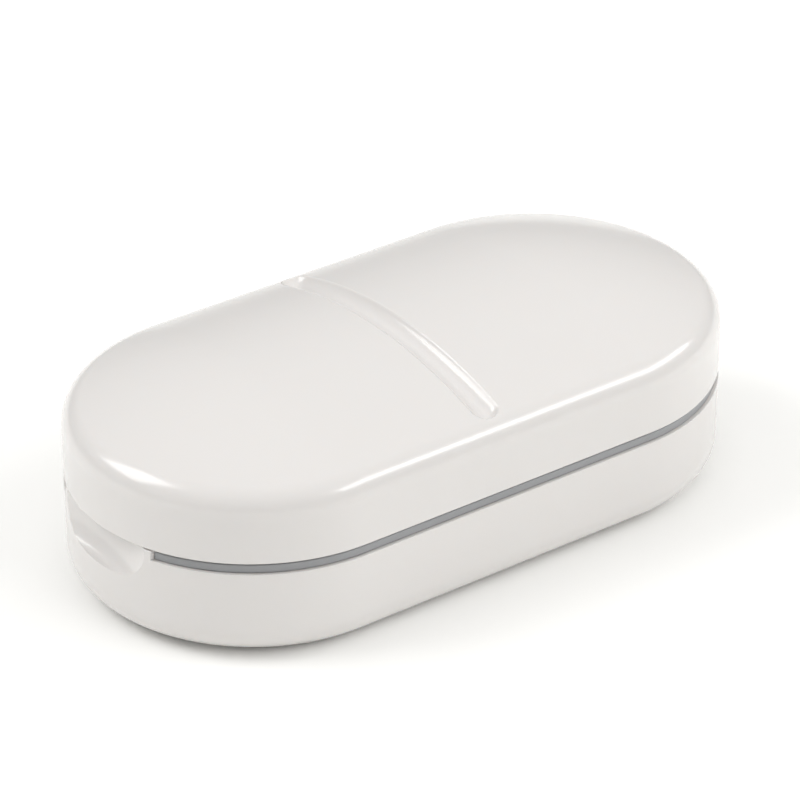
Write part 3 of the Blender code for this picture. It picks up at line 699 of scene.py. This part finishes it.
def make_spring(node, x):
    """A compression spring of round wire, wound closer at one end."""
    low, high = limits(node)
    wire = 0.17
    radius = (high.x - low.x) / 2 - wire
    shape = bmesh.new()
    turns, per_turn, sides = 3.0, 48, 12
    count = int(turns * per_turn)
    rings = []
    z_low, z_high = low.z + wire, high.z - wire
    for step in range(count + 1):
        t = step / count
        eased = t * t * (3 - 2 * t) * 0.35 + t * 0.65
        turn = 2 * math.pi * step / per_turn
        out = Vector((math.cos(turn), math.sin(turn), 0.0))
        centre = Vector((x, 0.0, z_low + (z_high - z_low) * eased)) + out * radius
        ring = []
        for side in range(sides):
            around = 2 * math.pi * side / sides
            up = Vector((0, 0, wire * math.sin(around)))
            ring.append(shape.verts.new(centre + out * (wire * math.cos(around)) + up))
        rings.append(ring)
    for ring, other in zip(rings, rings[1:]):
        for side in range(sides):
            after = (side + 1) % sides
            shape.faces.new((ring[side], ring[after], other[after], other[side]))
    shape.faces.new(rings[0])
    shape.faces.new(list(reversed(rings[-1])))
    bmesh.ops.recalc_face_normals(shape, faces=shape.faces)
    ready(link(shape, node + "_looks"), node + "_looks", "lid", [node], WIRE_STEEL)


# ---------------------------------------------------------------- screws, pin and pad
def make_screw(node, spot, body):
    """A self-tapping screw with a chamfered pan head, a cross recess and a rolled thread."""
    x, y = spot
    low, high = limits(node)
    head = (high.x - low.x) / 2
    thick = 0.8 if head < 1.5 else (0.7 if low.z < 5 else 0.65)
    tip = high.z
    base = low.z
    core, crest, pitch = 0.62, 0.88, 0.62
    profile = [(0.0, base), (head - 0.25, base), (head - 0.06, base + 0.08), (head, base + 0.25)]
    profile += [(head, base + thick - 0.06), (head - 0.06, base + thick), (crest, base + thick)]
    z = base + thick + 0.05
    while z + pitch < tip - 1.0:
        profile += [(core, z + 0.06), (core, z + pitch * 0.45), (crest, z + pitch * 0.62), (crest, z + pitch * 0.7)]
        z += pitch
    profile += [(core, z + 0.1), (0.25, tip - 0.15), (0.0, tip)]
    body_mesh = turned(node + "_looks", profile, spot, 40)
    for turn in (0.0, math.pi / 2):
        arm_x, arm_y = (x - head * 0.52, x + head * 0.52), (y - 0.19, y + 0.19)
        cut(body_mesh, box("recess", arm_x, arm_y, (base - 0.3, base + 0.32), 0.0, turn, spot))
    ready(body_mesh, node + "_looks", body, [node], SCREW_STEEL)


def make_pin():
    radius = (pin_high.z - pin_low.z) / 2
    pin = across("hinge_pin_looks", radius, pin_low.y, pin_high.y, 0.18)
    ready(pin, "hinge_pin_looks", "base", ["hinge_pin"], SCREW_STEEL)


def make_pad():
    """Silicone pad with a rounded rim."""
    pad = plate("pad", stadium(pad_high.y), pad_low.z, pad_high.z, 0.2)
    ready(pad, "anti_slip_pad_looks", "base", ["anti_slip_pad"], SILICONE)


make_lid_shell()
make_base_shell()
make_inner_tray()
make_pill_cradle()
make_lid_liner()
make_blade()
make_blade_carrier()
make_blade_guard()
make_pin()
make_pad()
for node, x in zip(("guard_spring_front", "guard_spring_rear"), POST_X):
    make_spring(node, x)
for where, spot in zip(SPOT_NAMES, SCREW_TRAY):
    make_screw(f"tray_screw_{where}", spot, "base")
for where, spot in zip(SPOT_NAMES, SCREW_LINER):
    make_screw(f"liner_screw_{where}", spot, "lid")
for where, x in zip(("front", "rear"), CARRIER_SCREWS):
    make_screw(f"carrier_screw_{where}", (x, 0.0), "lid")


# ---------------------------------------------------------------- studio
def make_floor():
    """A plain pale floor."""
    shape = bmesh.new()
    bmesh.ops.create_grid(shape, x_segments=2, y_segments=2, size=4000.0)
    floor = link(shape, "studio_floor", shown)
    made, nodes, links, shader = graph_of("studio_white")
    here = place_of(nodes, links)
    tone = noise(nodes, links, 3.0, 2.0, here)
    pale = ramp(nodes, links, tone, ((0.3, (0.96, 0.96, 0.945)), (0.7, (0.97, 0.97, 0.955))))
    links.new(pale, shader.inputs["Base Color"])
    shader.inputs["Roughness"].default_value = 0.7
    floor.data.materials.append(made)


LIGHT_AIM = (0.0, 0.0, 0.012)


def light(name, place, size, power, diffuse=True, glossy=True):
    """A rectangular lamp aimed at the object, which can be left out of diffuse light or reflections."""
    lamp = bpy.data.lights.new(name, "AREA")
    lamp.shape = "RECTANGLE"
    lamp.size, lamp.size_y = size
    lamp.energy = power
    obj = bpy.data.objects.new(name, lamp)
    obj.visible_camera = False
    obj.visible_diffuse = diffuse
    obj.visible_glossy = glossy
    obj.location = place
    obj.rotation_euler = (Vector(LIGHT_AIM) - Vector(place)).to_track_quat("-Z", "Y").to_euler()
    shown.objects.link(obj)


def make_studio():
    make_floor()
    world = bpy.data.worlds.new("studio")
    bpy.context.scene.world = world
    world.use_nodes = True
    nodes, links = world.node_tree.nodes, world.node_tree.links
    up = nodes.new("ShaderNodeSeparateXYZ")
    links.new(nodes.new("ShaderNodeTexCoord").outputs["Generated"], up.inputs["Vector"])
    sky = nodes.new("ShaderNodeMapRange")
    sky.inputs["To Min"].default_value = 0.30
    sky.inputs["To Max"].default_value = 0.95
    links.new(up.outputs["Z"], sky.inputs["Value"])
    links.new(sky.outputs["Result"], nodes["Background"].inputs["Strength"])
    nodes["Background"].inputs["Color"].default_value = (1.0, 0.995, 0.985, 1.0)
    light("key", (-0.62, 0.46, 0.80), (0.55, 0.55), 4.6)
    light("front_strip", (0.50, -0.62, 0.66), (1.3, 0.20), 4.8, glossy=False)
    light("front_glint", (0.66, -0.56, 0.66), (1.1, 0.20), 4.5, diffuse=False)
    bpy.context.scene.view_settings.view_transform = "Standard"


def make_camera():
    azimuth, elevation = math.radians(-36.3), math.radians(31.0)
    length = 2 * (END + RADIUS) * MM
    aim = Vector((0.0, 0.0, 0.1 * length))
    back = Vector((
        math.sin(azimuth) * math.cos(elevation), -math.cos(azimuth) * math.cos(elevation), math.sin(elevation),
    ))
    lens = bpy.data.cameras.new("view")
    lens.lens = 184.5
    lens.sensor_width = 36.0
    lens.shift_x = 0.0025
    lens.shift_y = 0.0525
    lens.clip_start, lens.clip_end = 0.01, 20.0
    camera = bpy.data.objects.new("view", lens)
    camera.location = aim + back * (5.71 * length)
    camera.rotation_mode = "QUATERNION"
    camera.rotation_quaternion = (-back).to_track_quat("-Z", "Y")
    shown.objects.link(camera)
    bpy.context.scene.camera = camera


make_studio()
make_camera()
